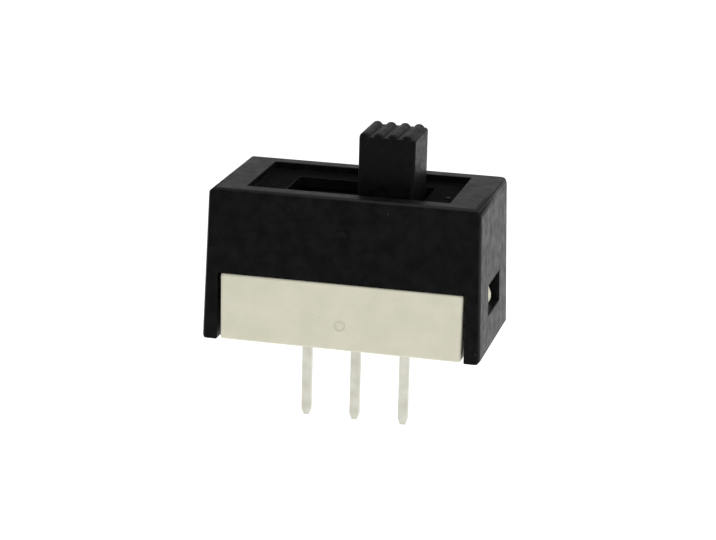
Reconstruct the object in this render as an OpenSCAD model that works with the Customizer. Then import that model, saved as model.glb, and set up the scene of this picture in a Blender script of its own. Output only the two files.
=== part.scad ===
// Subminiature slide switch with one changeover contact, made to be soldered into a circuit board.
// X runs along the handle's travel, with the handle drawn at its +X stop. -Y is the front. +Z is up.
// The origin is the centre of the seating plane, level with the base's underside and the housing's feet.

/* [Housing] */
// Length over the feet
housing_l = 14.1; // [11.7:0.1:17]
// Width over the feet
housing_w = 7.4; // [6.1:0.1:9]
// Height above the circuit board
housing_h = 7.7; // [6.4:0.1:9.3]
// How far each end face leans in over the full height
end_draft = 0.25; // [0.1:0.05:0.4]
// How far the front and the back lean in over the full height
side_draft = 0.17; // [0.1:0.01:0.3]
// Thickness of the end walls at their feet
end_wall = 0.8; // [0.6:0.05:1]
// Thickness of the front and back walls at their lower edge
side_wall = 0.7; // [0.5:0.05:0.9]
// Thickness of the top around the handle's slot
top_wall = 0.6; // [0.5:0.05:0.8]
// Radius of the top edge at each end
end_edge_r = 0.42; // [0.2:0.02:0.5]
// Radius of the top edge at the front and the back
side_edge_r = 0.3; // [0.2:0.02:0.4]
// Radius of the four upright corners
corner_r = 0.32; // [0.2:0.02:0.5]
// Chamfer under the outer edge of the feet
foot_chamfer = 0.14; // [0.05:0.01:0.2]

/* [Recess and windows] */
// Length of the recess in the top
recess_l = 10.2; // [9:0.1:10.4]
// Width of the recess in the top
recess_w = 5.2; // [4.5:0.1:5.4]
// Depth of the recess in the top
recess_d = 0.4; // [0.3:0.05:0.6]
// Width of the latch window in each end wall
window_w = 2.9; // [2.4:0.1:3.2]
// Height of the latch window in each end wall
window_h = 1.55; // [1.3:0.05:1.8]
// Height of the latch window's lower edge above the circuit board
window_z = 1.8; // [1.5:0.05:2]

/* [Base] */
// Height of the base's shoulder, where the front and back walls sit on it
shoulder_h = 3.4; // [3.2:0.05:4]
// Height of the plug that stands up inside the housing
plug_h = 0.9; // [0.7:0.05:1.1]
// Radius of the base's outer edges
base_edge_r = 0.13; // [0.05:0.01:0.2]
// How far each latch lug stands out of the base
lug_out = 0.52; // [0.35:0.01:0.6]
// Width of each latch lug
lug_w = 2.4; // [2:0.1:2.8]
// Height of each latch lug
lug_h = 1.1; // [0.9:0.05:1.3]
// Length of the sealing recess under the base
seal_l = 7.4; // [6.6:0.1:9]
// Width of the sealing recess under the base
seal_w = 2; // [1.2:0.1:3]
// Depth of the sealing recess under the base
seal_recess_d = 0.6; // [0.5:0.05:0.8]
// Thickness of the sealing resin in the recess
seal_t = 0.4; // [0.2:0.05:0.45]

/* [Handle and slider] */
// Travel of the handle from stop to stop
travel = 3.3; // [2.7:0.05:4]
// Length of the handle along its travel
handle_l = 2.85; // [2.5:0.05:3.1]
// Depth of the handle from front to back
handle_d = 3.05; // [2.6:0.05:3.7]
// Height of the handle above the housing
handle_h = 2.85; // [2.3:0.05:3.5]
// Radius of the handle's upright edges
handle_r = 0.22; // [0.1:0.02:0.4]
// Number of grip ridges across the top of the handle
ridges = 4; // [2:1:4]
// Distance between grip ridges
ridge_pitch = 0.71; // [0.6:0.01:0.76]
// Distance from the handle's middle to the middle of the ridges
ridge_shift = -0.08; // [-0.08:0.02:0.08]
// Radius of each grip ridge
ridge_r = 0.26; // [0.2:0.01:0.28]
// Thickness of the slider's flange
flange_t = 0.6; // [0.5:0.05:0.8]

/* [Contacts] */
// Distance between terminals
pitch = 2.54; // [2.1:0.01:3.1]
// Length of the terminals below the circuit board's face
pin_l = 4.85; // [3:0.05:6]
// Width of each terminal pin
pin_w = 0.5; // [0.4:0.02:0.6]
// Thickness of the terminal strip
strip_t = 0.3; // [0.24:0.01:0.36]
// Length of the bevel at the tip of each pin
tip_l = 0.35; // [0.2:0.05:0.6]
// Width of each terminal's blade and contact pad
pad_l = 1.2; // [1:0.05:1.4]
// Length of each contact pad from front to back
pad_d = 1.9; // [1.6:0.1:2.4]
// Thickness of each contact pad
pad_t = 0.25; // [0.2:0.01:0.3]
// Thickness of the moving contact's strip
contact_t = 0.18; // [0.14:0.01:0.22]
// Width of the moving contact
contact_w = 1.5; // [1.2:0.05:1.8]
// Outer radius of the moving contact's two feet
foot_r = 0.42; // [0.35:0.01:0.5]
// Outside diameter of the contact spring
spring_d = 1.4; // [1.2:0.05:1.6]
// Wire diameter of the contact spring
wire_d = 0.2; // [0.15:0.01:0.25]
// Number of turns in the contact spring
turns = 5; // [3:1:7]

/* [Clearances] */
// Gap between the base's ends and the end walls
base_gap = 0.15; // [0.1:0.01:0.2]
// Gap around the base's plug
plug_gap = 0.06; // [0.03:0.01:0.08]
// Running gap around the slider and its handle
slide_gap = 0.06; // [0.04:0.01:0.08]
// Gap left at each end of the travel
stop_gap = 0.04; // [0.02:0.01:0.06]
// Gap between the handle and the end of its slot at each stop
slot_gap = 0.42; // [0.1:0.02:0.5]
// Gap around the terminals in the base
terminal_gap = 0.02; // [0.01:0.005:0.03]
// Gap under and over the moving contact and its spring
contact_gap = 0.02; // [0.01:0.005:0.03]
// Gap between a latch lug and its window's lower edge
latch_gap = 0.05; // [0.03:0.01:0.08]

/* [Hidden] */
$fn = 48;

// how far a cutting shape runs past the face that it opens
past = 0.5;
// an edge radius meets its faces at this angle, so that each edge is cut cleanly
meet = cos(8);

// levels above the circuit board
ceiling_z = housing_h - recess_d - top_wall;
deck_z = shoulder_h + plug_h;
flange_top_z = ceiling_z - slide_gap;
flange_z = flange_top_z - flange_t;
handle_top_z = housing_h + handle_h;
ridge_axis_z = handle_top_z - ridge_r;

// the cavity inside the housing
cavity_l = housing_l - 2 * end_wall;
cavity_w = housing_w - 2 * side_wall - 2 * side_draft * shoulder_h / housing_h;
slot_l = handle_l + travel + 2 * slot_gap;
slot_w = handle_d + 2 * slide_gap;

// the base
base_l = cavity_l - 2 * base_gap;
base_w = housing_w - 2 * side_draft * shoulder_h / housing_h;
plug_w = cavity_w - 2 * plug_gap;

// the terminals: pin up to the blade, blade up to the pad
blade_z = seal_recess_d + 0.8;

// the slider, drawn about its own middle and then moved to its +X stop
rest_x = travel / 2;
flange_l = cavity_l - travel - 4 * stop_gap;
flange_w = cavity_w - 2 * slide_gap;
contact_l = pitch + 2 * foot_r + 0.5;
foot_axis_z = deck_z + contact_gap + foot_r;
contact_top_z = foot_axis_z + contact_t;
pocket_wall = 0.35;
pocket_z = contact_top_z + contact_gap;
carriage_l = contact_l + 2 * slide_gap + 2 * pocket_wall;
carriage_w = contact_w + 2 * slide_gap + 2 * pocket_wall;
carriage_z = deck_z + 0.15;
spring_bore_r = spring_d / 2 + slide_gap;
spring_bore_top_z = flange_top_z + 0.9;
spring_h = spring_bore_top_z - contact_top_z - 2 * contact_gap;

// The waste outside a rounded corner. The corner is at the origin, and the material lies towards -X and -Y.
module corner_waste(r) {
    difference() {
        translate([-r * meet, -r * meet]) square(r * meet + past);
        translate([-r * meet, -r * meet]) circle(r);
    }
}

// The same waste as a bar of length l, centred on the origin and lying along X.
// The material lies towards -Y and -Z.
module edge_waste(l, r) {
    rotate([90, 0, 90]) linear_extrude(l, center = true) corner_waste(r);
}

// A bar along Y, with the material towards -X and -Z
module end_edge_waste(l, r) {
    rotate([0, 0, -90]) edge_waste(l, r);
}

// Draws its children and their reflections, to the front and the back
module front_and_back() {
    children();
    mirror([0, 1, 0]) children();
}

// Draws its children and their reflections, at both ends
module both_ends() {
    children();
    mirror([1, 0, 0]) children();
}

module centred_box(l, w, z0, z1) {
    translate([-l / 2, -w / 2, z0]) cube([l, w, z1 - z0]);
}

// A wall profile of full width at the bottom, leaning in by lean on each side
module leaning_profile(width, lean, h) {
    polygon([[-width / 2, 0], [width / 2, 0], [width / 2 - lean, h], [-width / 2 + lean, h]]);
}

// The housing before it is hollowed: all four sides lean in, and the edges are rounded
module housing_body() {
    half_l = housing_l / 2;
    half_w = housing_w / 2;
    tilt_end = atan(end_draft / housing_h);
    tilt_side = atan(side_draft / housing_h);
    difference() {
        intersection() {
            rotate([90, 0, 0]) linear_extrude(housing_w + past, center = true)
                leaning_profile(housing_l, end_draft, housing_h);
            rotate([90, 0, 90]) linear_extrude(housing_l + past, center = true)
                leaning_profile(housing_w, side_draft, housing_h);
        }
        both_ends() front_and_back() translate([half_l, half_w, 0]) rotate([tilt_side, -tilt_end, 0])
            translate([0, 0, -past]) linear_extrude(housing_h + 2 * past) corner_waste(corner_r);
        front_and_back() translate([0, half_w - side_draft, housing_h])
            edge_waste(housing_l + past, side_edge_r);
        both_ends() translate([half_l - end_draft, 0, housing_h])
            end_edge_waste(housing_w + past, end_edge_r);
    }
}

module housing() {
    color("#1b1b1c") difference() {
        housing_body();
        // cavity, open at the bottom
        centred_box(cavity_l, cavity_w, -past, ceiling_z);
        // the front and back walls stop at the base's shoulder, and the end walls run down as feet
        centred_box(cavity_l, housing_w + 2 * past, -past, shoulder_h);
        centred_box(recess_l, recess_w, housing_h - recess_d, housing_h + past);
        centred_box(slot_l, slot_w, ceiling_z - past, housing_h);
        // latch windows
        centred_box(housing_l + 2 * past, window_w, window_z, window_z + window_h);
        both_ends() translate([housing_l / 2, 0, 0]) rotate([0, 45, 0])
            cube([foot_chamfer * sqrt(2), housing_w + past, foot_chamfer * sqrt(2)], center = true);
    }
}

// One lug's outline from the side: a flat catch below and a ramp above, from the base's end outwards
module lug_profile() {
    lead = lug_out * 0.45;
    polygon([[-past, 0], [lug_out, 0], [lug_out, lug_h * 0.35], [lead, lug_h], [-past, lug_h]]);
}

module base() {
    lug_z = window_z + latch_gap;
    color("#d3d0bd") difference() {
        union() {
            difference() {
                centred_box(base_l, base_w, 0, shoulder_h);
                both_ends() front_and_back() translate([base_l / 2, base_w / 2, -past])
                    linear_extrude(shoulder_h + 2 * past) corner_waste(base_edge_r);
                front_and_back() translate([0, base_w / 2, shoulder_h])
                    edge_waste(base_l + past, base_edge_r);
            }
            centred_box(base_l, plug_w, shoulder_h - past, deck_z);
            both_ends() translate([base_l / 2, 0, lug_z]) rotate([90, 0, 0])
                linear_extrude(lug_w, center = true) lug_profile();
        }
        // seats of the three terminals: pin, blade and pad
        for (x = [-pitch, 0, pitch]) translate([x, 0, 0]) {
            centred_box(pin_w + 2 * terminal_gap, strip_t + 2 * terminal_gap, -past, deck_z);
            centred_box(pad_l + 2 * terminal_gap, strip_t + 2 * terminal_gap, blade_z, deck_z + past);
            centred_box(pad_l + 2 * terminal_gap, pad_d + 2 * terminal_gap, deck_z - pad_t, deck_z + past);
        }
        centred_box(seal_l, seal_w, -past, seal_recess_d);
    }
}

// A pin's outline from the front, with a bevelled tip
module pin_profile() {
    polygon([[-pin_w / 2, blade_z], [-pin_w / 2, tip_l - pin_l], [-pin_w / 4, -pin_l],
        [pin_w / 4, -pin_l], [pin_w / 2, tip_l - pin_l], [pin_w / 2, blade_z]]);
}

// A terminal in one piece: pin, wider blade held in the base, and headed contact pad
module terminal() {
    color("#d4d4c6") {
        rotate([90, 0, 0]) linear_extrude(strip_t, center = true) union() {
            pin_profile();
            translate([-pad_l / 2, blade_z]) square([pad_l, deck_z - blade_z]);
        }
        centred_box(pad_l, pad_d, deck_z - pad_t, deck_z);
    }
}

module terminal_left() {
    translate([-pitch, 0, 0]) terminal();
}

module terminal_common() {
    terminal();
}

module terminal_right() {
    translate([pitch, 0, 0]) terminal();
}

// Resin poured round the three pins, a little below the base's underside
module terminal_seal() {
    color("#6f6a5c") difference() {
        centred_box(seal_l, seal_w, seal_recess_d - seal_t, seal_recess_d);
        for (x = [-pitch, 0, pitch]) translate([x, 0, 0])
            centred_box(pin_w, strip_t, 0, seal_recess_d + past);
    }
}

// The handle with its grip ridges, about the slider's own middle
module handle() {
    difference() {
        union() {
            centred_box(handle_l, handle_d, flange_z, ridge_axis_z);
            for (i = [0 : ridges - 1])
                translate([ridge_shift + (i - (ridges - 1) / 2) * ridge_pitch, 0, ridge_axis_z])
                    rotate([90, 0, 0]) cylinder(r = ridge_r, h = handle_d, center = true);
        }
        both_ends() front_and_back() translate([handle_l / 2, handle_d / 2, flange_top_z])
            linear_extrude(handle_top_z - flange_top_z + past) corner_waste(handle_r);
        front_and_back() translate([0, handle_d / 2, handle_top_z])
            edge_waste(handle_l + past, handle_r);
    }
}

module slider() {
    color("#202021") translate([rest_x, 0, 0]) difference() {
        union() {
            handle();
            centred_box(flange_l, flange_w, flange_z, flange_top_z);
            centred_box(carriage_l, carriage_w, carriage_z, flange_z + flange_t / 2);
        }
        // pocket of the moving contact, and the blind bore of its spring above it
        centred_box(contact_l + 2 * slide_gap, contact_w + 2 * slide_gap, carriage_z - past, pocket_z);
        translate([0, 0, pocket_z - past])
            cylinder(r = spring_bore_r, h = spring_bore_top_z - pocket_z + past);
    }
}

// Points of a coil spring: closed flat end turns, and open turns between them
coil_r = (spring_d - wire_d) / 2;
coil_steps = 16;
wire_sides = 8;
ring_count = turns * coil_steps;
closed_part = 1 / turns;
function coil_rise(u) = u < closed_part ? u * wire_d * turns
    : u > 1 - closed_part ? spring_h - wire_d - (1 - u) * wire_d * turns
    : wire_d + (u - closed_part) / (1 - 2 * closed_part) * (spring_h - 3 * wire_d);
function coil_ring(i) = let (a = i * 360 / coil_steps, z = coil_rise(i / ring_count) + wire_d / 2)
    [for (s = [0 : wire_sides - 1]) let (b = s * 360 / wire_sides, r = coil_r + wire_d / 2 * cos(b))
        [r * cos(a), r * sin(a), z + wire_d / 2 * sin(b)]];
coil_points = [for (i = [0 : ring_count]) each coil_ring(i)];
coil_sides = [for (i = [0 : ring_count - 1], s = [0 : wire_sides - 1])
    let (t = (s + 1) % wire_sides, p = i * wire_sides, q = p + wire_sides) [p + s, p + t, q + t, q + s]];
coil_start = [for (s = [wire_sides - 1 : -1 : 0]) s];
coil_end = [for (s = [0 : wire_sides - 1]) ring_count * wire_sides + s];

module contact_spring() {
    color("#a9abad") translate([rest_x, 0, contact_top_z + contact_gap])
        polyhedron(coil_points, concat(coil_sides, [coil_start, coil_end]));
}

// The moving contact's outline from the front: a flat bridge with two rounded feet pressed out of it
module contact_profile() {
    inner_r = foot_r - contact_t;
    difference() {
        union() {
            translate([-contact_l / 2, foot_axis_z]) square([contact_l, contact_t]);
            for (x = [-pitch / 2, pitch / 2]) translate([x, foot_axis_z]) circle(foot_r);
        }
        for (x = [-pitch / 2, pitch / 2]) translate([x, foot_axis_z]) {
            circle(inner_r);
            translate([-inner_r, 0]) square([2 * inner_r, foot_r + past]);
        }
        translate([-contact_l / 2 - past, foot_axis_z + contact_t])
            square([contact_l + 2 * past, foot_r + past]);
    }
}

module moving_contact() {
    color("#c9c6bd") translate([rest_x, 0, 0]) rotate([90, 0, 0])
        linear_extrude(contact_w, center = true) contact_profile();
}

housing();
base();
terminal_left();
terminal_common();
terminal_right();
terminal_seal();
slider();
contact_spring();
moving_contact();
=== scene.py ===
"""Looks of a subminiature slide switch: black moulded cover and handle, cream base, tinned terminals."""

import math

import bmesh
import bpy
from mathutils import Matrix, Vector


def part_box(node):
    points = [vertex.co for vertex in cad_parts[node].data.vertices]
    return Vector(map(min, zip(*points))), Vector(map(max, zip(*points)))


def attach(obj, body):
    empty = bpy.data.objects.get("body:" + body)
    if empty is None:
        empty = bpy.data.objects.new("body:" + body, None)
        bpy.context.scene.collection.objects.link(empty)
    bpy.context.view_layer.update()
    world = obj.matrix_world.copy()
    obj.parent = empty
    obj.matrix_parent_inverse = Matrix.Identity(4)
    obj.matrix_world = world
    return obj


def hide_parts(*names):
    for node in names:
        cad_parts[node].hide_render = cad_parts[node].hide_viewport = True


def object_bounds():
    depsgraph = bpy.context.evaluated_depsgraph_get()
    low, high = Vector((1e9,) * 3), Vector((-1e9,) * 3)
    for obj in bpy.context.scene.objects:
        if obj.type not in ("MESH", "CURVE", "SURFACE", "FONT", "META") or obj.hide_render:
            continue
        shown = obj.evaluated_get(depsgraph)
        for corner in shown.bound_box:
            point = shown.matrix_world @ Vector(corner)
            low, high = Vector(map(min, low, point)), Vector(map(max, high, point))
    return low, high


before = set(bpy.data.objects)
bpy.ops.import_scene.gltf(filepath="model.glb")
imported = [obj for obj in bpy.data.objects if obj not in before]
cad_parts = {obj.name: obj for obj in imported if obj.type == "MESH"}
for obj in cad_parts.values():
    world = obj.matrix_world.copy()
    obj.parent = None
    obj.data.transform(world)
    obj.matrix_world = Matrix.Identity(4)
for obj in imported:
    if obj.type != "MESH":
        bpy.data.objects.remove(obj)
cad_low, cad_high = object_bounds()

MM = 0.001

# Where the camera stands, its lens and sensor in mm, and the height it aims at
CAMERA_AZIMUTH = math.radians(13.6)
CAMERA_ELEVATION = math.radians(16.7)
CAMERA_ROLL = math.radians(1.4)
CAMERA_DISTANCE = 114.7 * MM
CAMERA_LENS = 114.8
CAMERA_SENSOR = 36
CAMERA_NEAR = 5 * MM
CAMERA_FAR = 10
AIM_SHARE_OF_HOUSING = 0.404

# The studio's floor and lights, with places and sizes in metres
FLOOR_DROP = 14 * MM
FLOOR_SIZE = 4.0
FLOOR_SHADE = (0.93, 0.93, 0.93, 1)
AIR_SHADE = (1.0, 1.0, 1.0, 1)
AIR_STRENGTH = 0.68
LIGHT_AIM = (0, 0, 3 * MM)
OVERHEAD_PLACE = (0.02, 0.05, 0.30)
OVERHEAD_SIZE = (0.30, 0.30)
OVERHEAD_POWER = 0.66
KEY_PLACE = (0.23, 0.01, 0.19)
KEY_SIZE = (0.05, 0.05)
KEY_POWER = 0.25

# How far the sharp edges of each piece are eased, and in how many steps
COVER_EDGE = 0.06 * MM
COVER_SHORTEST_EDGE = 4 * COVER_EDGE
SLIDER_EDGE = 0.05 * MM
BASE_EDGE = 0.11 * MM
STAMPED_EDGE = 0.03 * MM
MOULDED_STEPS = 3
STAMPED_STEPS = 2

# Limits for working on meshes: points that are one, slivers, faces that are flat, edges that are eased, and
# edges that are shaded sharp
SAME_POINT = 0.004 * MM
SLIVER = 0.001 * MM
FLAT_WITHIN = math.radians(0.4)
EASED_FROM = math.radians(25)
SHARP_FROM = math.radians(30)
RESIN_SHARP_FROM = math.radians(50)

# Depth of the grain in moulded plastic and of the streaks in metal, and the middle range of a noise
PLASTIC_RELIEF = 0.02 * MM
METAL_RELIEF = 0.01 * MM
NOISE_LOW = 0.35
NOISE_HIGH = 0.65

# The recess in the cover's top, whose floor the mould leaves coarse, and whose floor colour is darkened as
# painted shade
RECESS_LENGTH = 10.2 * MM
RECESS_WIDTH = 5.2 * MM
RECESS_DEPTH = 0.4 * MM
RECESS_FLOOR_REACH = 0.01 * MM
POCKET_ROUGHER = 0.62
# the recess floor's colour: a painted shade, near-black
POCKET_PAINTED_SHADE = (0.0006, 0.0006, 0.0007)
POCKET_COARSER = 5.0

# Handle: its depth, the radii of its upright corners and of the edge round its top, and the grip ridges on it
HANDLE_DEPTH = 3.05 * MM
HANDLE_CORNER = 0.22 * MM
HANDLE_ROUNDING = 0.14 * MM
ROUNDING_STEPS = 6
GRIP_RIDGES = 4
RIDGE_SPACING = 0.71 * MM
RIDGE_ROW_SHIFT = -0.08 * MM
RIDGE_SHORTFALL = 0.02 * MM
RIDGE_RADIUS = 0.26 * MM
RIDGE_HALF_BREADTH = 0.28 * MM
RIDGE_END_ROUNDING = 0.22 * MM
RIDGE_RINGS = 61
RIDGE_SIDES = 28
GROOVE_DEPTH = 0.17 * MM

# Terminals
TERMINALS = ("terminal_left", "terminal_common", "terminal_right")
PIN_WIDTH = 0.5 * MM
STRIP_THICKNESS = 0.3 * MM
TIP_LENGTH = 0.35 * MM
TIP_SHARE = 0.55
BLADE_FOOT = 1.4 * MM
PAD_THICKNESS = 0.25 * MM
STRIP_CORNER_STEPS = 3

# Contact spring
WIRE_THICKNESS = 0.2 * MM
WIRE_SIDES = 12
SPRING_TURNS = 5.0
POINTS_PER_TURN = 40

# Resin under the base: how high and how far its face climbs at a wall, the share of that climb at a pin, the
# most where the two meet, and the grid of its face
MENISCUS_RISE = 0.14 * MM
MENISCUS_REACH = 0.16 * MM
PIN_CLIMB = 0.8
MOST_CLIMB = 1.2
RESIN_COLUMNS = 148
RESIN_ROWS = 40

# Small round marks that the mould leaves on the front of the cover and of the base, and in the recess.
# Each profile is radius and height in mm, from the axis and back to it.
COVER_MARK_HEIGHT = 5.8 * MM
BASE_MARK_HEIGHT = 1.3 * MM
PIP_PLACE = (4.55 * MM, -0.4 * MM)
CLEAR_OF_SWITCH = 1
MARK_STEPS = 40
RAISED_RING = ((0, -0.1), (0.34, -0.1), (0.33, 0.05), (0.28, 0.08), (0.22, 0.05), (0.18, 0.015), (0, 0.015))
PRESSED_RING = ((0, 0.1), (0.32, 0.1), (0.3, -0.04), (0.24, -0.06), (0.18, -0.04), (0, -0.03))
RAISED_PIP = ((0, -0.1), (0.15, -0.1), (0.14, 0.04), (0.09, 0.08), (0, 0.1))


# ---------------------------------------------------------------- node helpers

def add_node(tree, kind, inputs=None, **settings):
    """A node of that kind, with its settings, and with its inputs given as values or as sockets to link."""
    node = tree.nodes.new(kind)
    for name, value in settings.items():
        setattr(node, name, value)
    for key, value in (inputs or {}).items():
        if isinstance(value, bpy.types.NodeSocket):
            tree.links.new(value, node.inputs[key])
        else:
            node.inputs[key].default_value = value
    return node


def calculate(tree, operation, *values):
    """A Math node on the values or sockets; gives its result socket."""
    return add_node(tree, "ShaderNodeMath", dict(enumerate(values)), operation=operation).outputs[0]


def named_tree(name, kind, takes, gives):
    """A node group with the named sockets, its input node and its output node."""
    tree = bpy.data.node_groups.new(name, kind)
    for title, socket, value in takes:
        made = tree.interface.new_socket(title, in_out="INPUT", socket_type="NodeSocket" + socket)
        if value is not None:
            made.default_value = value
    for title, socket in gives:
        tree.interface.new_socket(title, in_out="OUTPUT", socket_type="NodeSocket" + socket)
    return tree, tree.nodes.new("NodeGroupInput"), tree.nodes.new("NodeGroupOutput")


# ---------------------------------------------------------------- finishes shared by several materials

def moulded_grain_group():
    """Skin of a moulded piece: fine spark-eroded grain, and a broad mottle of shade."""
    tree, start, end = named_tree(
        "moulded_grain", "ShaderNodeTree",
        [("Grain per mm", "Float", 9.0),
         ("Pit share", "Float", 0.45),
         ("Mottle per mm", "Float", 0.9)],
        [("Height", "Float"), ("Mottle", "Float")])
    place = add_node(tree, "ShaderNodeTexCoord").outputs["Object"]
    grain_scale = calculate(tree, "DIVIDE", start.outputs["Grain per mm"], MM)
    mottle_scale = calculate(tree, "DIVIDE", start.outputs["Mottle per mm"], MM)
    grain = add_node(tree, "ShaderNodeTexNoise",
                     {"Vector": place, "Scale": grain_scale, "Detail": 3.0, "Roughness": 0.6})
    pits = add_node(tree, "ShaderNodeTexVoronoi", {"Vector": place, "Scale": grain_scale})
    mottle = add_node(tree, "ShaderNodeTexNoise",
                      {"Vector": place, "Scale": mottle_scale, "Detail": 3.0, "Roughness": 0.55})
    height = calculate(tree, "MULTIPLY_ADD", pits.outputs["Distance"], start.outputs["Pit share"],
                       grain.outputs["Fac"])
    tree.links.new(height, end.inputs["Height"])
    tree.links.new(mottle.outputs["Fac"], end.inputs["Mottle"])
    return tree


def dust_specks_group():
    """Sparse pale specks, of dust and tiny nicks."""
    tree, start, end = named_tree(
        "dust_specks", "ShaderNodeTree",
        [("Cells per mm", "Float", 2.2),
         ("Speck size", "Float", 0.09),
         ("Share of cells", "Float", 0.25)],
        [("Mask", "Float")])
    place = add_node(tree, "ShaderNodeTexCoord").outputs["Object"]
    scale = calculate(tree, "DIVIDE", start.outputs["Cells per mm"], MM)
    cells = add_node(tree, "ShaderNodeTexVoronoi", {"Vector": place, "Scale": scale})
    near = calculate(tree, "LESS_THAN", cells.outputs["Distance"], start.outputs["Speck size"])
    chosen = add_node(tree, "ShaderNodeSeparateColor", {"Color": cells.outputs["Color"]})
    kept = calculate(tree, "LESS_THAN", chosen.outputs[0], start.outputs["Share of cells"])
    tree.links.new(calculate(tree, "MULTIPLY", near, kept), end.inputs["Mask"])
    return tree


def drawn_streaks_group():
    """Long fine streaks down a rolled or drawn metal surface, and the cloudiness of its plating."""
    tree, start, end = named_tree(
        "drawn_streaks", "ShaderNodeTree",
        [("Across per mm", "Float", 14.0),
         ("Along per mm", "Float", 0.6),
         ("Clouds per mm", "Float", 1.4)],
        [("Streak", "Float"), ("Cloud", "Float")])
    place = add_node(tree, "ShaderNodeTexCoord").outputs["Object"]
    across = calculate(tree, "DIVIDE", start.outputs["Across per mm"], MM)
    along = calculate(tree, "DIVIDE", start.outputs["Along per mm"], MM)
    stretch = add_node(tree, "ShaderNodeCombineXYZ", {"X": across, "Y": across, "Z": along})
    stretched = add_node(tree, "ShaderNodeVectorMath", {0: place, 1: stretch.outputs[0]},
                         operation="MULTIPLY")
    streak = add_node(tree, "ShaderNodeTexNoise",
                      {"Vector": stretched.outputs[0], "Scale": 1.0, "Detail": 3.0})
    cloud_scale = calculate(tree, "DIVIDE", start.outputs["Clouds per mm"], MM)
    cloud = add_node(tree, "ShaderNodeTexNoise", {"Vector": place, "Scale": cloud_scale, "Detail": 2.0})
    tree.links.new(streak.outputs["Fac"], end.inputs["Streak"])
    tree.links.new(cloud.outputs["Fac"], end.inputs["Cloud"])
    return tree


def pocket_floor_group():
    """Where the surface is a level floor inside a shallow rectangular pocket centred on the Z axis."""
    tree, start, end = named_tree(
        "pocket_floor", "ShaderNodeTree",
        [("Half length", "Float", 0.0),
         ("Half width", "Float", 0.0),
         ("Lowest", "Float", 0.0),
         ("Highest", "Float", 0.0)],
        [("Mask", "Float")])
    take = start.outputs
    place = add_node(tree, "ShaderNodeTexCoord").outputs["Object"]
    spot = add_node(tree, "ShaderNodeSeparateXYZ", {0: place}).outputs
    inside = [calculate(tree, "LESS_THAN", calculate(tree, "ABSOLUTE", spot["X"]), take["Half length"]),
              calculate(tree, "LESS_THAN", calculate(tree, "ABSOLUTE", spot["Y"]), take["Half width"]),
              calculate(tree, "LESS_THAN", spot["Z"], take["Highest"]),
              calculate(tree, "GREATER_THAN", spot["Z"], take["Lowest"])]
    both = calculate(tree, "MULTIPLY", inside[0], inside[1])
    level = calculate(tree, "MULTIPLY", inside[2], inside[3])
    tree.links.new(calculate(tree, "MULTIPLY", both, level), end.inputs["Mask"])
    return tree


GRAIN = moulded_grain_group()
POCKET = pocket_floor_group()
SPECKS = dust_specks_group()
STREAKS = drawn_streaks_group()


# ---------------------------------------------------------------- materials

def new_material(name, constants):
    """A material with its own Principled shader, and the values that are the same all over it."""
    material = bpy.data.materials.new(name)
    material.use_nodes = True
    shader = material.node_tree.nodes["Principled BSDF"]
    for key, value in constants.items():
        shader.inputs[key].default_value = value
    return material, material.node_tree, shader


def placed_group(tree, group, values=None):
    """A shared group placed in a material, with that material's own values."""
    node = add_node(tree, "ShaderNodeGroup", node_tree=group)
    for key, value in (values or {}).items():
        node.inputs[key].default_value = value
    return node


def shade_between(tree, factor, low, high):
    """A mix of two colours, given as tuples or as sockets, by a factor socket; gives the colour socket.
    Inputs 6 and 7 and output 2 are the node's colour sockets, which share their names with its others."""
    mix = add_node(tree, "ShaderNodeMix", data_type="RGBA")
    tree.links.new(factor, mix.inputs["Factor"])
    for socket, colour in ((mix.inputs[6], low), (mix.inputs[7], high)):
        if isinstance(colour, bpy.types.NodeSocket):
            tree.links.new(colour, socket)
        else:
            socket.default_value = (*colour, 1.0)
    return mix.outputs[2]


def spread(tree, noise, low, high):
    """The middle range of a noise brought to run from low to high."""
    fit = add_node(tree, "ShaderNodeMapRange",
                   {"Value": noise, "From Min": NOISE_LOW, "From Max": NOISE_HIGH,
                    "To Min": low, "To Max": high})
    return fit.outputs["Result"]


def bump_into(tree, shader, height, strength, distance):
    """A bump of that depth from the height socket into the shader's normal."""
    bump = add_node(tree, "ShaderNodeBump",
                    {"Height": height, "Strength": strength, "Distance": distance})
    tree.links.new(bump.outputs["Normal"], shader.inputs["Normal"])


def moulded_plastic(name, dark, light, speck, rough, grain, specks, bump, constants, pocket=None):
    """A moulded plastic: two shades that mottle into each other, sparse specks and a grained skin.
    The floor of a pocket, where there's one, is left coarse by the mould, and its colour there is darkened as
    painted shade."""
    material, tree, shader = new_material(name, constants)
    skin = placed_group(tree, GRAIN, grain)
    dust = placed_group(tree, SPECKS, specks)
    mottled = shade_between(tree, spread(tree, skin.outputs["Mottle"], 0, 1), dark, light)
    roughness = spread(tree, skin.outputs["Mottle"], *rough)
    height = skin.outputs["Height"]
    if pocket:
        floor = placed_group(tree, POCKET, pocket).outputs["Mask"]
        # painted shade: the pocket floor's colour is darkened to near-black
        mottled = shade_between(tree, floor, mottled, POCKET_PAINTED_SHADE)
        roughness = calculate(tree, "MULTIPLY_ADD", floor, POCKET_ROUGHER, roughness)
        coarser = calculate(tree, "MULTIPLY_ADD", floor, POCKET_COARSER, 1.0)
        height = calculate(tree, "MULTIPLY", height, coarser)
    dusted = shade_between(tree, dust.outputs["Mask"], mottled, speck)
    tree.links.new(dusted, shader.inputs["Base Color"])
    tree.links.new(roughness, shader.inputs["Roughness"])
    bump_into(tree, shader, height, bump, PLASTIC_RELIEF)
    return material


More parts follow.
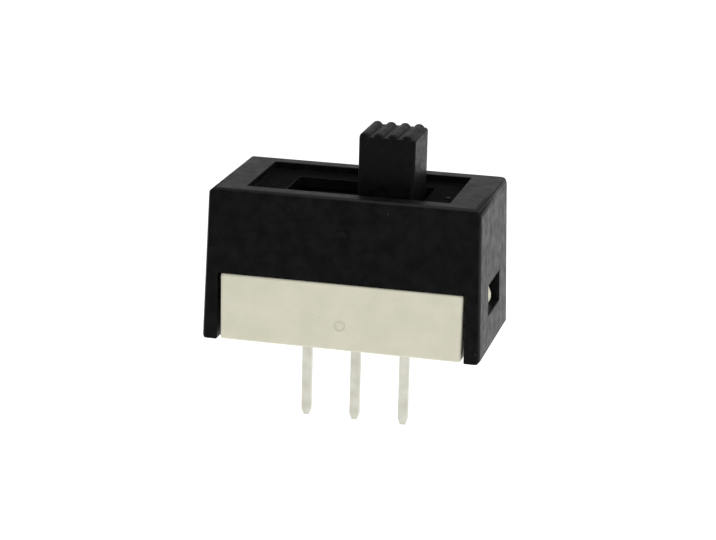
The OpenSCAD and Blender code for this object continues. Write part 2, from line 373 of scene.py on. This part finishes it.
def plated_metal(name, dull, bright, rough, bump):
    """Plated strip or wire: streaked along Z, with a clouded plating."""
    material, tree, shader = new_material(name, {"Metallic": 1.0})
    streaks = placed_group(tree, STREAKS)
    cloud = spread(tree, streaks.outputs["Cloud"], 0, 1)
    tree.links.new(shade_between(tree, cloud, dull, bright), shader.inputs["Base Color"])
    tree.links.new(spread(tree, streaks.outputs["Streak"], *rough), shader.inputs["Roughness"])
    bump_into(tree, shader, streaks.outputs["Streak"], bump, METAL_RELIEF)
    return material


def make_materials():
    """Every finish on the switch, by its slot's name in the record."""
    recess_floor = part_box("housing")[1].z - RECESS_DEPTH
    recess = {"Half length": RECESS_LENGTH / 2,
              "Half width": RECESS_WIDTH / 2,
              "Lowest": recess_floor - RECESS_FLOOR_REACH,
              "Highest": recess_floor + RECESS_FLOOR_REACH}
    return {
        "cover_plastic": moulded_plastic(
            "cover_plastic", dark=(0.0024, 0.0025, 0.0027), light=(0.0064, 0.0064, 0.0066),
            speck=(0.03, 0.03, 0.03), rough=(0.3, 0.42), grain={"Grain per mm": 6.0, "Mottle per mm": 1.6},
            specks={"Share of cells": 0.06}, bump=0.4, constants={"Specular IOR Level": 0.05}, pocket=recess),
        "handle_plastic": moulded_plastic(
            "handle_plastic", dark=(0.0022, 0.0022, 0.0022), light=(0.005, 0.005, 0.0045),
            speck=(0.03, 0.03, 0.028), rough=(0.36, 0.5), grain={"Grain per mm": 7.0, "Mottle per mm": 2.5},
            specks={"Share of cells": 0.1}, bump=0.5, constants={"Specular IOR Level": 0.07}),
        "base_plastic": moulded_plastic(
            "base_plastic", dark=(0.665, 0.655, 0.52), light=(0.715, 0.69, 0.56),
            speck=(0.5, 0.46, 0.34), rough=(0.42, 0.55), grain={"Grain per mm": 6.0},
            specks={"Share of cells": 0.03, "Speck size": 0.07}, bump=0.18,
            constants={"Specular IOR Level": 0.45, "Subsurface Weight": 0.25,
                       "Subsurface Radius": (0.4, 0.35, 0.25), "Subsurface Scale": 0.6 * MM}),
        "terminal_metal": plated_metal(
            "terminal_metal", dull=(0.53, 0.525, 0.45), bright=(0.63, 0.62, 0.55), rough=(0.28, 0.42),
            bump=0.15),
        "seal_resin": moulded_plastic(
            "seal_resin", dark=(0.035, 0.025, 0.014), light=(0.07, 0.05, 0.028),
            speck=(0.1, 0.08, 0.05), rough=(0.12, 0.22), grain={"Grain per mm": 1.5, "Mottle per mm": 0.6},
            specks={}, bump=0.1, constants={"Coat Weight": 0.4}),
        "spring_wire": plated_metal(
            "spring_wire", dull=(0.45, 0.45, 0.46), bright=(0.62, 0.62, 0.63), rough=(0.22, 0.34),
            bump=0.1),
        "contact_metal": plated_metal(
            "contact_metal", dull=(0.70, 0.69, 0.65), bright=(0.84, 0.83, 0.79), rough=(0.2, 0.32),
            bump=0.1),
    }


MATERIALS = make_materials()


# ---------------------------------------------------------------- making and placing pieces

def new_piece(name, mesh):
    """An object of that mesh, in the scene."""
    piece = bpy.data.objects.new(name, mesh)
    bpy.context.scene.collection.objects.link(piece)
    return piece


def worked_in(blank, name):
    """A plain mesh of the blank with its modifiers worked in; the blank goes."""
    bpy.context.view_layer.update()
    worked = blank.evaluated_get(bpy.context.evaluated_depsgraph_get())
    mesh = bpy.data.meshes.new_from_object(worked)
    bpy.data.objects.remove(blank)
    mesh.name = name
    return mesh


def as_plain_mesh(blank, name):
    """A piece with the blank's shape, shaded smooth between its sharp edges and flat on its large faces.
    The blank goes."""
    mesh = worked_in(blank, name)
    mesh.shade_smooth()
    mesh.set_sharp_from_angle(angle=SHARP_FROM)
    shaded = new_piece(name + "_shaded", mesh)
    shading = shaded.modifiers.new("even_shading", "WEIGHTED_NORMAL")
    shading.keep_sharp = True
    return new_piece(name, worked_in(shaded, name))


def set_in_place(piece, body, slot, *nodes):
    """The piece rides on its body, takes its finish from its slot, and stands for its CAD nodes."""
    piece.data.materials.clear()
    piece.data.materials.append(MATERIALS[slot])
    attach(piece, body)
    if nodes:
        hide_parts(*nodes)
    return piece


def merged_copy(node, name, cut_above=None):
    """The CAD node's shape as one joined mesh with whole flat faces, cut off level if it's asked."""
    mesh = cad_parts[node].data.copy()
    shape = bmesh.new()
    shape.from_mesh(mesh)
    bmesh.ops.remove_doubles(shape, verts=shape.verts, dist=SAME_POINT)
    if cut_above is not None:
        everything = shape.verts[:] + shape.edges[:] + shape.faces[:]
        cut = bmesh.ops.bisect_plane(shape, geom=everything, plane_co=(0, 0, cut_above),
                                     plane_no=(0, 0, 1), clear_outer=True)
        rim = [part for part in cut["geom_cut"] if isinstance(part, bmesh.types.BMEdge)]
        bmesh.ops.contextual_create(shape, geom=rim)
    bmesh.ops.dissolve_limit(shape, angle_limit=FLAT_WITHIN, verts=shape.verts, edges=shape.edges)
    bmesh.ops.recalc_face_normals(shape, faces=shape.faces)
    shape.to_mesh(mesh)
    shape.free()
    return new_piece(name, mesh)


def crowned(blank, level, top, radius, corner):
    """The blank with its flat top, at level, carried up to top and the edge round it rounded.
    The top's outline is a rectangle whose corners have the corner radius."""
    shape = bmesh.new()
    shape.from_mesh(blank.data)
    deck = next(face for face in shape.faces if all(abs(vert.co.z - level) < SLIVER for vert in face.verts))
    lows = [min(vert.co[axis] for vert in deck.verts) + corner for axis in (0, 1)]
    highs = [max(vert.co[axis] for vert in deck.verts) - corner for axis in (0, 1)]
    for step in range(ROUNDING_STEPS + 1):
        turn = math.radians(90) * step / ROUNDING_STEPS
        if step:
            made = bmesh.ops.extrude_face_region(shape, geom=[deck])["geom"]
            bmesh.ops.delete(shape, geom=[deck], context="FACES_ONLY")
            deck = next(part for part in made if isinstance(part, bmesh.types.BMFace))
        for vert in deck.verts:
            core = Vector([min(max(vert.co[axis], lows[axis]), highs[axis]) for axis in (0, 1)])
            reach = corner - radius * (1 - math.cos(turn))
            place = core + (vert.co.xy - core).normalized() * reach
            vert.co = (*place, top - radius + radius * math.sin(turn))
    shape.to_mesh(blank.data)
    shape.free()
    return blank


def eased(blank, width, steps=MOULDED_STEPS, shortest=0.0):
    """The blank with its sharp edges eased by width, apart from those that meet an edge shorter than that."""
    shape = bmesh.new()
    shape.from_mesh(blank.data)
    sharp = [edge for edge in shape.edges if edge.calc_face_angle(0) > EASED_FROM
             and all(near.calc_length() > shortest for vert in edge.verts for near in vert.link_edges)]
    bmesh.ops.bevel(shape, geom=sharp, offset=width, offset_type="OFFSET", segments=steps, profile=0.5,
                    affect="EDGES", clamp_overlap=True)
    bmesh.ops.dissolve_degenerate(shape, dist=SLIVER, edges=shape.edges)
    shape.to_mesh(blank.data)
    shape.free()
    return blank


def turned_form(name, profile):
    """A closed form turned about Z from a profile of (radius, height) in mm, from the axis and back to it."""
    shape = bmesh.new()
    rings = []
    for radius, height in profile:
        if radius == 0:
            rings.append([shape.verts.new((0, 0, height * MM))])
        else:
            turns = [math.tau * i / MARK_STEPS for i in range(MARK_STEPS)]
            rings.append([shape.verts.new((radius * MM * math.cos(turn), radius * MM * math.sin(turn),
                                           height * MM)) for turn in turns])
    for lower, upper in zip(rings, rings[1:]):
        for i in range(MARK_STEPS):
            j = (i + 1) % MARK_STEPS
            corners = [lower[i % len(lower)], lower[j % len(lower)],
                       upper[j % len(upper)], upper[i % len(upper)]]
            shape.faces.new(list(dict.fromkeys(corners)))
    bmesh.ops.recalc_face_normals(shape, faces=shape.faces)
    if shape.calc_volume(signed=True) < 0:
        bmesh.ops.reverse_faces(shape, faces=shape.faces)
    mesh = bpy.data.meshes.new(name)
    shape.to_mesh(mesh)
    shape.free()
    return new_piece(name, mesh)


def marked(blank, start, heading, profile, operation):
    """The blank with a small round mark where a line from start meets it: UNION raises the mark from the
    surface, DIFFERENCE presses it in."""
    bpy.context.view_layer.update()
    _, where, outward, _ = blank.ray_cast(Vector(start), Vector(heading))
    form = turned_form("mark_form", profile)
    turn = outward.to_track_quat("Z", "Y").to_matrix().to_4x4()
    form.data.transform(Matrix.Translation(where) @ turn)
    work = blank.modifiers.new("mark", "BOOLEAN")
    work.operation = operation
    work.object = form
    work.solver = "EXACT"
    name = blank.name
    mesh = worked_in(blank, name)
    bpy.data.objects.remove(form)
    return new_piece(name, mesh)


# ---------------------------------------------------------------- growing pieces from node trees

def grown(name, tree, values):
    """The plain mesh that a geometry tree makes from these values."""
    blank = new_piece(name + "_blank", bpy.data.meshes.new(name + "_blank"))
    work = blank.modifiers.new("grown", "NODES")
    work.node_group = tree
    for socket in tree.interface.items_tree:
        if socket.item_type == "SOCKET" and socket.in_out == "INPUT":
            work[socket.identifier] = values[socket.name]
    return as_plain_mesh(blank, name)


def by_index(tree, *values):
    """A number that depends on the point's index, from the values or sockets given."""
    choose = add_node(tree, "GeometryNodeIndexSwitch", data_type="FLOAT")
    while len(choose.index_switch_items) < len(values):
        choose.index_switch_items.new()
    tree.links.new(add_node(tree, "GeometryNodeInputIndex").outputs[0], choose.inputs["Index"])
    for i, value in enumerate(values):
        if isinstance(value, bpy.types.NodeSocket):
            tree.links.new(value, choose.inputs[i + 1])
        else:
            choose.inputs[i + 1].default_value = value
    return choose.outputs[0]


def bar_between(tree, width, depth, edge, heights, swellings):
    """An upright bar of rounded rectangular section through the heights, its section swelling with each."""
    line = add_node(tree, "GeometryNodeMeshLine", {"Count": len(heights)})
    spot = add_node(tree, "ShaderNodeCombineXYZ", {"Z": by_index(tree, *heights)})
    moved = add_node(tree, "GeometryNodeSetPosition",
                     {"Geometry": line.outputs["Mesh"], "Position": spot.outputs[0]})
    path = add_node(tree, "GeometryNodeMeshToCurve", {"Mesh": moved.outputs[0]})
    section = add_node(tree, "GeometryNodeCurvePrimitiveQuadrilateral", {"Width": width, "Height": depth})
    rounded = add_node(tree, "GeometryNodeFilletCurve",
                       {"Curve": section.outputs[0], "Radius": edge, "Count": STRIP_CORNER_STEPS},
                       mode="POLY")
    sweep = add_node(tree, "GeometryNodeCurveToMesh",
                     {"Curve": path.outputs[0], "Profile Curve": rounded.outputs[0],
                      "Scale": by_index(tree, *swellings), "Fill Caps": True})
    return sweep.outputs[0]


def finish_tree(tree, end, geometry, material):
    """The tree's end: instances made real, and the piece's material."""
    real = add_node(tree, "GeometryNodeRealizeInstances", {"Geometry": geometry})
    dressed = add_node(tree, "GeometryNodeSetMaterial",
                       {"Geometry": real.outputs[0], "Material": material})
    tree.links.new(dressed.outputs[0], end.inputs["Geometry"])


def row_of(tree, count, spacing, centre, instance):
    """The instance repeated along X, in a row about the centre."""
    gaps = calculate(tree, "SUBTRACT", count, 1.0)
    length = calculate(tree, "MULTIPLY", gaps, spacing)
    first = add_node(tree, "ShaderNodeCombineXYZ", {"X": calculate(tree, "MULTIPLY", length, -0.5)})
    begin = add_node(tree, "ShaderNodeVectorMath", {0: first.outputs[0], 1: centre}, operation="ADD")
    step = add_node(tree, "ShaderNodeCombineXYZ", {"X": spacing})
    line = add_node(tree, "GeometryNodeMeshLine",
                    {"Count": count, "Start Location": begin.outputs[0], "Offset": step.outputs[0]})
    row = add_node(tree, "GeometryNodeInstanceOnPoints",
                   {"Points": line.outputs[0], "Instance": instance})
    return row.outputs[0]


def terminal_row_tree():
    """A row of terminals: tapered pin, wider blade and headed pad."""
    tree, start, end = named_tree(
        "terminal_row", "GeometryNodeTree",
        [("Count", "Int", 3), ("Spacing", "Float", 0.0), ("Centre", "Vector", None),
         ("Pin width", "Float", 0.0), ("Strip thickness", "Float", 0.0),
         ("Tip height", "Float", 0.0), ("Tip length", "Float", 0.0), ("Blade foot", "Float", 0.0),
         ("Pad width", "Float", 0.0), ("Pad depth", "Float", 0.0), ("Pad thickness", "Float", 0.0),
         ("Pad height", "Float", 0.0), ("Edge", "Float", 0.0), ("Finish", "Material", None)],
        [("Geometry", "Geometry")])
    take = start.outputs
    shank = calculate(tree, "ADD", take["Tip height"], take["Tip length"])
    pad_foot = calculate(tree, "SUBTRACT", take["Pad height"], take["Pad thickness"])
    inside_blade = calculate(tree, "ADD", take["Blade foot"], take["Edge"])
    inside_pad = calculate(tree, "ADD", pad_foot, take["Edge"])
    pin = bar_between(tree, take["Pin width"], take["Strip thickness"], take["Edge"],
                      (take["Tip height"], shank, inside_blade), (TIP_SHARE, 1.0, 1.0))
    blade = bar_between(tree, take["Pad width"], take["Strip thickness"], take["Edge"],
                        (take["Blade foot"], inside_pad), (1.0, 1.0))
    pad = bar_between(tree, take["Pad width"], take["Pad depth"], take["Edge"],
                      (pad_foot, take["Pad height"]), (1.0, 1.0))
    join = add_node(tree, "GeometryNodeJoinGeometry")
    for bar in (pad, blade, pin):
        tree.links.new(bar, join.inputs[0])
    row = row_of(tree, take["Count"], take["Spacing"], take["Centre"], join.outputs[0])
    finish_tree(tree, end, row, take["Finish"])
    return tree


def grip_ridges_tree():
    """A row of oval bars with rounded ends, for the grip on top of the handle."""
    tree, start, end = named_tree(
        "grip_ridges", "GeometryNodeTree",
        [("Count", "Int", 4), ("Spacing", "Float", 0.0), ("Centre", "Vector", None),
         ("Radius", "Float", 0.0), ("Half breadth", "Float", 0.0), ("Length", "Float", 0.0),
         ("End rounding", "Float", 0.0), ("Finish", "Material", None)],
        [("Geometry", "Geometry")])
    take = start.outputs
    half = calculate(tree, "MULTIPLY", take["Length"], 0.5)
    back = add_node(tree, "ShaderNodeCombineXYZ", {"Y": half})
    front = add_node(tree, "ShaderNodeCombineXYZ", {"Y": calculate(tree, "MULTIPLY", half, -1.0)})
    line = add_node(tree, "GeometryNodeCurvePrimitiveLine",
                    {"Start": front.outputs[0], "End": back.outputs[0]})
    path = add_node(tree, "GeometryNodeResampleCurve", {"Curve": line.outputs[0], "Count": RIDGE_RINGS})
    # how far along the end's quarter circle each ring stands: 0 at the very end, 1 where the bar is full
    along = add_node(tree, "GeometryNodeSplineParameter").outputs["Length"]
    from_middle = calculate(tree, "ABSOLUTE", calculate(tree, "SUBTRACT", along, half))
    from_end = calculate(tree, "SUBTRACT", half, from_middle)
    share = calculate(tree, "MINIMUM", calculate(tree, "DIVIDE", from_end, take["End rounding"]), 1.0)
    left = calculate(tree, "SUBTRACT", 1.0, share)
    # the section's share of its full size there
    kept = calculate(tree, "SUBTRACT", 1.0, calculate(tree, "MULTIPLY", left, left))
    rise = calculate(tree, "SQRT", kept)
    lost = calculate(tree, "MULTIPLY", calculate(tree, "SUBTRACT", 1.0, rise), take["End rounding"])
    swelling = calculate(tree, "SUBTRACT", 1.0, calculate(tree, "DIVIDE", lost, take["Radius"]))
    section = add_node(tree, "GeometryNodeCurvePrimitiveCircle",
                       {"Resolution": RIDGE_SIDES, "Radius": take["Radius"]})
    bar = add_node(tree, "GeometryNodeCurveToMesh",
                   {"Curve": path.outputs[0], "Profile Curve": section.outputs[0], "Scale": swelling,
                    "Fill Caps": True})
    breadth = calculate(tree, "DIVIDE", take["Half breadth"], take["Radius"])
    broader = add_node(tree, "ShaderNodeCombineXYZ", {"X": breadth, "Y": 1.0, "Z": 1.0})
    broad = add_node(tree, "GeometryNodeTransform",
                     {"Geometry": bar.outputs[0], "Scale": broader.outputs[0]})
    row = row_of(tree, take["Count"], take["Spacing"], take["Centre"], broad.outputs[0])
    finish_tree(tree, end, row, take["Finish"])
    return tree


def coil_spring_tree():
    """A compression spring standing along Z: open turns between closed flat end turns."""
    tree, start, end = named_tree(
        "coil_spring", "GeometryNodeTree",
        [("Turns", "Float", 5.0), ("Foot", "Vector", None), ("Height", "Float", 0.0),
         ("Outside radius", "Float", 0.0), ("Wire radius", "Float", 0.0), ("Finish", "Material", None)],
        [("Geometry", "Geometry")])
    take = start.outputs
    radius = calculate(tree, "SUBTRACT", take["Outside radius"], take["Wire radius"])
    coil = add_node(tree, "GeometryNodeCurveSpiral",
                    {"Resolution": POINTS_PER_TURN, "Rotations": take["Turns"], "Start Radius": radius,
                     "End Radius": radius, "Height": take["Height"]})
    along = add_node(tree, "GeometryNodeSplineParameter").outputs["Factor"]
    closed = calculate(tree, "DIVIDE", 1.0, take["Turns"])
    opened = calculate(tree, "SUBTRACT", 1.0, closed)
    # each end turn climbs by one wire, and the open turns between them by what is left
    wire = calculate(tree, "MULTIPLY", take["Wire radius"], 2.0)
    free = calculate(tree, "SUBTRACT", take["Height"], calculate(tree, "MULTIPLY", wire, 3.0))
    low = add_node(tree, "ShaderNodeMapRange",
                   {"Value": along, "From Min": 0.0, "From Max": closed, "To Max": wire})
    middle = add_node(tree, "ShaderNodeMapRange",
                      {"Value": along, "From Min": closed, "From Max": opened, "To Max": free})
    high = add_node(tree, "ShaderNodeMapRange",
                    {"Value": along, "From Min": opened, "From Max": 1.0, "To Max": wire})
    below = calculate(tree, "ADD", low.outputs[0], middle.outputs[0])
    rise = calculate(tree, "ADD", below, high.outputs[0])
    place = add_node(tree, "GeometryNodeInputPosition").outputs[0]
    spot = add_node(tree, "ShaderNodeSeparateXYZ", {0: place})
    lifted = add_node(tree, "ShaderNodeCombineXYZ",
                      {"X": spot.outputs["X"], "Y": spot.outputs["Y"],
                       "Z": calculate(tree, "ADD", rise, take["Wire radius"])})
    seated = add_node(tree, "ShaderNodeVectorMath", {0: lifted.outputs[0], 1: take["Foot"]},
                      operation="ADD")
    moved = add_node(tree, "GeometryNodeSetPosition",
                     {"Geometry": coil.outputs[0], "Position": seated.outputs[0]})
    section = add_node(tree, "GeometryNodeCurvePrimitiveCircle",
                       {"Resolution": WIRE_SIDES, "Radius": take["Wire radius"]})
    wound = add_node(tree, "GeometryNodeCurveToMesh",
                     {"Curve": moved.outputs[0], "Profile Curve": section.outputs[0], "Fill Caps": True})
    finish_tree(tree, end, wound.outputs[0], take["Finish"])
    return tree


# ---------------------------------------------------------------- the switch's pieces

def make_cover():
    """The black cover, with a small raised ring on its front and a pip in its recess."""
    blank = eased(merged_copy("housing", "cover_blank"), COVER_EDGE, shortest=COVER_SHORTEST_EDGE)
    blank = marked(blank, (0, -CLEAR_OF_SWITCH, COVER_MARK_HEIGHT), (0, 1, 0), RAISED_RING, "UNION")
    blank = marked(blank, (*PIP_PLACE, CLEAR_OF_SWITCH), (0, 0, -1), RAISED_PIP, "UNION")
    set_in_place(as_plain_mesh(blank, "cover"), "switch_body", "cover_plastic", "housing")


def make_base_block():
    """The cream base, with a small ring pressed into its front."""
    blank = eased(merged_copy("base", "base_blank"), BASE_EDGE)
    blank = marked(blank, (0, -CLEAR_OF_SWITCH, BASE_MARK_HEIGHT), (0, 1, 0), PRESSED_RING, "DIFFERENCE")
    set_in_place(as_plain_mesh(blank, "base_block"), "switch_body", "base_plastic", "base")


def make_slider_with_handle():
    """The slider, whose handle ends in a rounded top with grip ridges let into it."""
    low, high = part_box("slider")
    axis_height = high.z - RIDGE_RADIUS
    below_ridges = axis_height - 2 * RIDGE_RADIUS
    blank = merged_copy("slider", "slider_blank", cut_above=below_ridges)
    blank = crowned(blank, below_ridges, high.z - GROOVE_DEPTH, HANDLE_ROUNDING, HANDLE_CORNER)
    blank = eased(blank, SLIDER_EDGE)
    set_in_place(as_plain_mesh(blank, "slider_with_handle"), "slider_group", "handle_plastic", "slider")
    ridges = grown("grip_ridges", grip_ridges_tree(), {
        "Count": GRIP_RIDGES,
        "Spacing": RIDGE_SPACING,
        "Centre": ((low.x + high.x) / 2 + RIDGE_ROW_SHIFT, 0, axis_height),
        "Radius": RIDGE_RADIUS,
        "Half breadth": RIDGE_HALF_BREADTH,
        "Length": HANDLE_DEPTH - 2 * RIDGE_SHORTFALL,
        "End rounding": RIDGE_END_ROUNDING,
        "Finish": MATERIALS["handle_plastic"]})
    set_in_place(ridges, "slider_group", "handle_plastic")


def make_terminal_row():
    """The three terminals, as one row."""
    low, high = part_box("terminal_common")
    left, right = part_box("terminal_left")[0].x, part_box("terminal_right")[0].x
    row = grown("terminal_row", terminal_row_tree(), {
        "Count": len(TERMINALS),
        "Spacing": (right - left) / 2,
        "Centre": ((low.x + high.x) / 2, 0, 0),
        "Pin width": PIN_WIDTH,
        "Strip thickness": STRIP_THICKNESS,
        "Tip height": low.z,
        "Tip length": TIP_LENGTH,
        "Blade foot": BLADE_FOOT,
        "Pad width": high.x - low.x,
        "Pad depth": high.y - low.y,
        "Pad thickness": PAD_THICKNESS,
        "Pad height": high.z,
        "Edge": STAMPED_EDGE,
        "Finish": MATERIALS["terminal_metal"]})
    set_in_place(row, "switch_body", "terminal_metal", *TERMINALS)


def make_contact_coil():
    """The spring that presses the bridge contact down."""
    low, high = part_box("contact_spring")
    coil = grown("contact_coil", coil_spring_tree(), {
        "Turns": SPRING_TURNS,
        "Foot": ((low.x + high.x) / 2, (low.y + high.y) / 2, low.z),
        "Height": high.z - low.z,
        "Outside radius": (high.x - low.x) / 2,
        "Wire radius": WIRE_THICKNESS / 2,
        "Finish": MATERIALS["spring_wire"]})
    set_in_place(coil, "slider_group", "spring_wire", "contact_spring")


def make_bridge_contact():
    """The bridge that joins the middle terminal to an outer one."""
    blank = eased(merged_copy("moving_contact", "bridge_blank"), STAMPED_EDGE, STAMPED_STEPS)
    set_in_place(as_plain_mesh(blank, "bridge_contact"), "slider_group", "contact_metal", "moving_contact")


def make_resin():
    """Resin in the base's recess: its face climbs the walls and the pins in a small meniscus."""
    low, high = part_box("terminal_seal")
    pins = [(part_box(name)[0].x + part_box(name)[1].x) / 2 for name in TERMINALS]
    shape = bmesh.new()

    def face_height(x, y):
        to_wall = min(x - low.x, high.x - x, y - low.y, high.y - y)
        beside_pin = max(abs(y) - STRIP_THICKNESS / 2, 0)
        to_pin = min(math.hypot(max(abs(x - pin) - PIN_WIDTH / 2, 0), beside_pin) for pin in pins)
        climb = math.exp(-to_wall / MENISCUS_REACH) + PIN_CLIMB * math.exp(-to_pin / MENISCUS_REACH)
        return low.z - MENISCUS_RISE * min(climb, MOST_CLIMB)

    across = [low.x + (high.x - low.x) * i / RESIN_COLUMNS for i in range(RESIN_COLUMNS + 1)]
    deep = [low.y + (high.y - low.y) * j / RESIN_ROWS for j in range(RESIN_ROWS + 1)]
    grid = [[shape.verts.new((x, y, face_height(x, y))) for x in across] for y in deep]
    for near, far in zip(grid, grid[1:]):
        for i in range(RESIN_COLUMNS):
            shape.faces.new((near[i], far[i], far[i + 1], near[i + 1]))
    rim = grid[0] + [row[-1] for row in grid[1:]] + grid[-1][-2::-1] + [row[0] for row in grid[-2:0:-1]]
    top = [shape.verts.new((vert.co.x, vert.co.y, high.z)) for vert in rim]
    for i in range(len(rim)):
        j = (i + 1) % len(rim)
        shape.faces.new((rim[i], rim[j], top[j], top[i]))
    shape.faces.new(top)
    bmesh.ops.recalc_face_normals(shape, faces=shape.faces)
    mesh = bpy.data.meshes.new("resin_fill")
    shape.to_mesh(mesh)
    shape.free()
    mesh.shade_smooth()
    mesh.set_sharp_from_angle(angle=RESIN_SHARP_FROM)
    set_in_place(new_piece("resin_fill", mesh), "switch_body", "seal_resin", "terminal_seal")


# ---------------------------------------------------------------- studio

def make_floor(lowest):
    """A plain pale floor, well below the switch's pins."""
    bpy.ops.mesh.primitive_plane_add(size=FLOOR_SIZE, location=(0, 0, lowest - FLOOR_DROP))
    floor = bpy.context.object
    floor.name = "floor"
    paper = {"Base Color": FLOOR_SHADE, "Roughness": 0.9, "Specular IOR Level": 0.2}
    floor.data.materials.append(new_material("floor_paper", paper)[0])


def add_area(name, where, size, power):
    """A soft rectangular light that faces the switch."""
    light = bpy.data.lights.new(name, "AREA")
    light.shape = "RECTANGLE"
    light.size, light.size_y = size
    light.energy = power
    lamp = bpy.data.objects.new(name, light)
    bpy.context.scene.collection.objects.link(lamp)
    lamp.location = where
    lamp.rotation_euler = (Vector(LIGHT_AIM) - Vector(where)).to_track_quat("-Z", "Y").to_euler()


def make_lights():
    """Even light from all round, a broad light overhead, and a small one from the right."""
    world = bpy.data.worlds.new("studio_air")
    bpy.context.scene.world = world
    world.use_nodes = True
    air = world.node_tree.nodes["Background"]
    air.inputs["Color"].default_value = AIR_SHADE
    air.inputs["Strength"].default_value = AIR_STRENGTH
    add_area("overhead", OVERHEAD_PLACE, OVERHEAD_SIZE, OVERHEAD_POWER)
    add_area("key_from_right", KEY_PLACE, KEY_SIZE, KEY_POWER)


def make_camera(aim):
    """The camera, a little above the switch and to its right, and slightly rolled."""
    level = math.cos(CAMERA_ELEVATION)
    back = Vector((math.sin(CAMERA_AZIMUTH) * level, -math.cos(CAMERA_AZIMUTH) * level,
                   math.sin(CAMERA_ELEVATION)))
    data = bpy.data.cameras.new("camera")
    data.lens = CAMERA_LENS
    data.sensor_width = CAMERA_SENSOR
    data.clip_start = CAMERA_NEAR
    data.clip_end = CAMERA_FAR
    camera = bpy.data.objects.new("camera", data)
    bpy.context.scene.collection.objects.link(camera)
    camera.location = aim + back * CAMERA_DISTANCE
    turn = (-back).to_track_quat("-Z", "Y").to_matrix() @ Matrix.Rotation(CAMERA_ROLL, 3, "Z")
    camera.rotation_euler = turn.to_euler()
    bpy.context.scene.camera = camera


def main():
    """The whole scene: camera and lights, floor, and the switch's pieces."""
    make_camera(Vector((0, 0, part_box("housing")[1].z * AIM_SHARE_OF_HOUSING)))
    make_lights()
    make_floor(cad_low.z)
    make_cover()
    make_base_block()
    make_slider_with_handle()
    make_terminal_row()
    make_contact_coil()
    make_bridge_contact()
    make_resin()
    bpy.context.scene.view_settings.view_transform = "Standard"


main()
